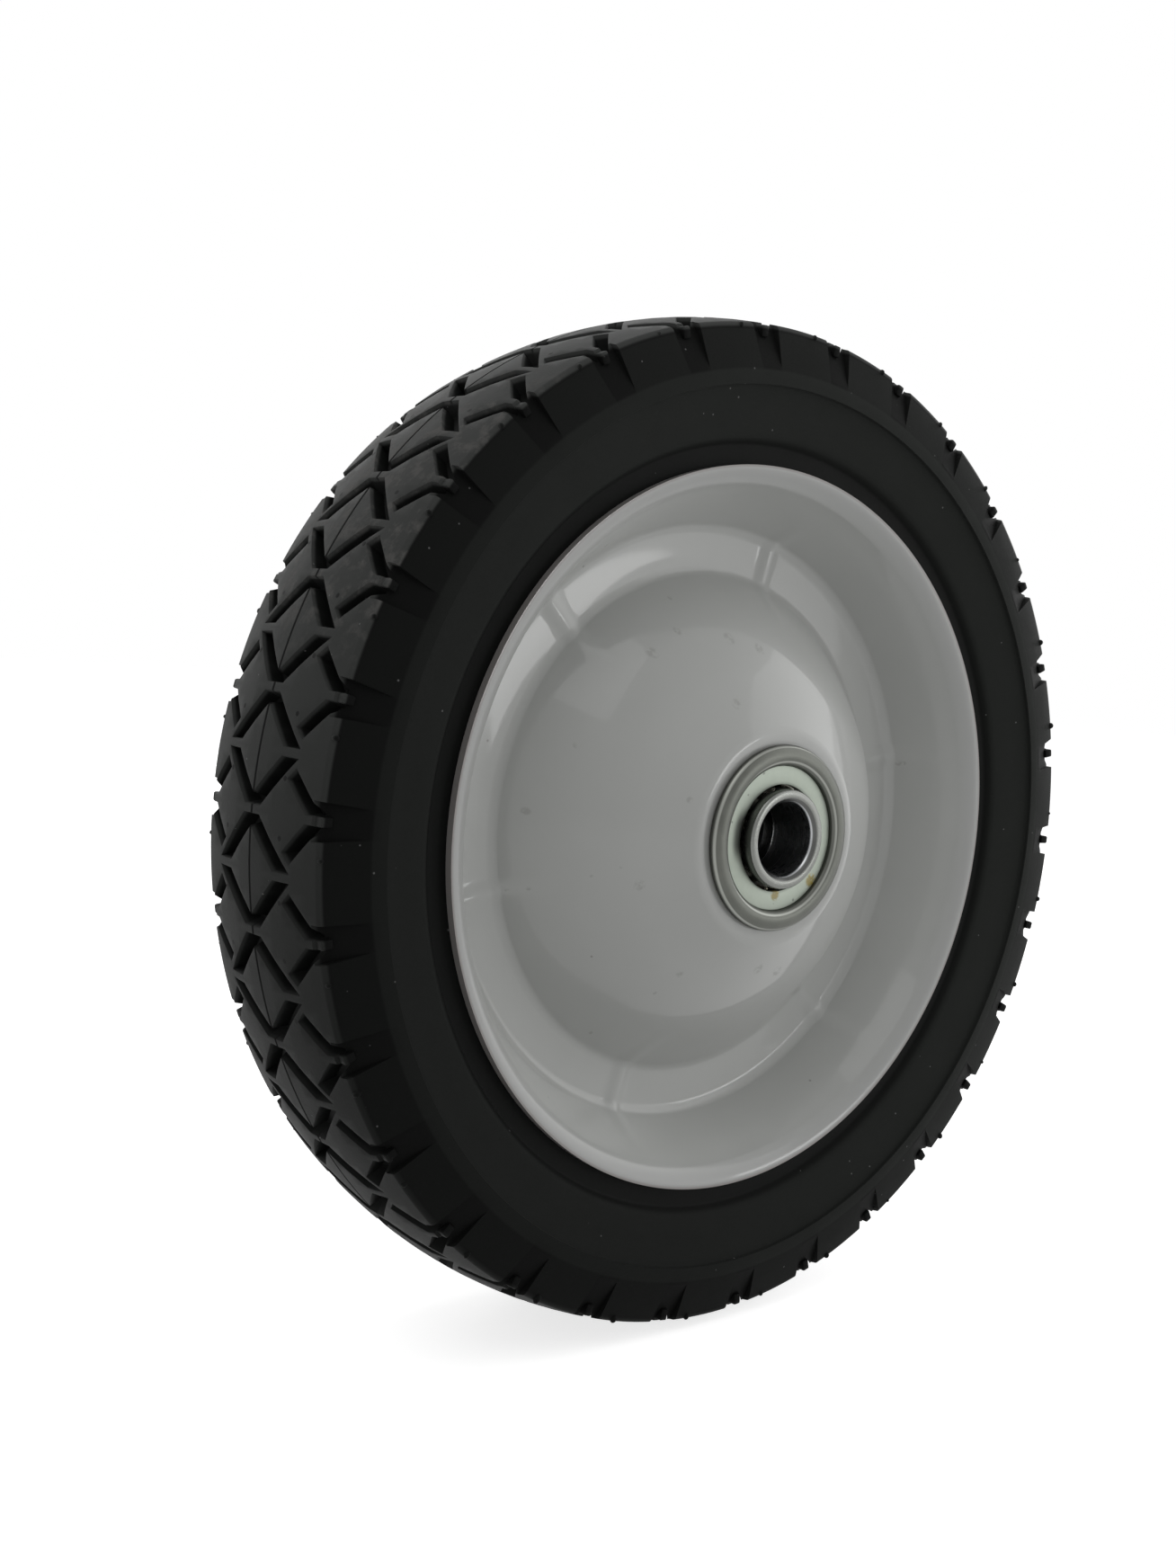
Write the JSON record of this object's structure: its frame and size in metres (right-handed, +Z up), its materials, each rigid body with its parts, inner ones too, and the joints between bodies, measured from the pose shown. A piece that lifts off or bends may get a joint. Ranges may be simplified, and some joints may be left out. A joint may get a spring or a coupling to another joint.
{
  "type": "wheel",
  "caption": "Small mower wheel: black rubber tyre with a raised diamond tread on a white pressed steel disc, with flanged, shielded ball bearings at the hub for a plain axle.",
  "frame": {"origin": "centre of the wheel, on the axle line in the tyre's middle plane", "axes": "+Y along the axle line from the front face to the rear face, +Z up"},
  "size_m": [0.1778, 0.0514, 0.1778],
  "materials": {
    "tyre_rubber": "satin moulded rubber",
    "white_paint": "gloss white paint",
    "race_steel": "bare pressed steel",
    "zinc_plate": "dull zinc plating",
    "ball_steel": "polished steel"
  },
  "bodies": {
    "axle_races": {"front_inner_race": "race_steel", "rear_inner_race": "race_steel"},
    "wheel": {"tyre": "tyre_rubber", "front_disc": "white_paint", "front_outer_race": "race_steel", "front_shield": "zinc_plate", "rear_disc": "white_paint", "rear_outer_race": "race_steel", "rear_shield": "zinc_plate"},
    "front_balls": {"front_ball_1": "ball_steel", "front_ball_2": "ball_steel", "front_ball_3": "ball_steel", "front_ball_4": "ball_steel", "front_ball_5": "ball_steel", "front_ball_6": "ball_steel", "front_ball_7": "ball_steel", "front_ball_8": "ball_steel", "front_ball_9": "ball_steel", "front_ball_10": "ball_steel"},
    "rear_balls": {"rear_ball_1": "ball_steel", "rear_ball_2": "ball_steel", "rear_ball_3": "ball_steel", "rear_ball_4": "ball_steel", "rear_ball_5": "ball_steel", "rear_ball_6": "ball_steel", "rear_ball_7": "ball_steel", "rear_ball_8": "ball_steel", "rear_ball_9": "ball_steel", "rear_ball_10": "ball_steel"}
  },
  "joints": [
    {"name": "wheel_spin", "type": "hinge", "parent": "axle_races", "child": "wheel", "pos_m": [0, 0, 0], "axis": [0, 1, 0], "continuous": true},
    {"name": "front_ball_orbit", "type": "hinge", "parent": "axle_races", "child": "front_balls", "pos_m": [0, 0, 0], "axis": [0, 1, 0], "continuous": true},
    {"name": "rear_ball_orbit", "type": "hinge", "parent": "axle_races", "child": "rear_balls", "pos_m": [0, 0, 0], "axis": [0, 1, 0], "continuous": true}
  ],
  "couplings": [
    {"joint": "front_ball_orbit", "follows": "wheel_spin", "ratio": 0.64498},
    {"joint": "rear_ball_orbit", "follows": "wheel_spin", "ratio": 0.64498}
  ]
}
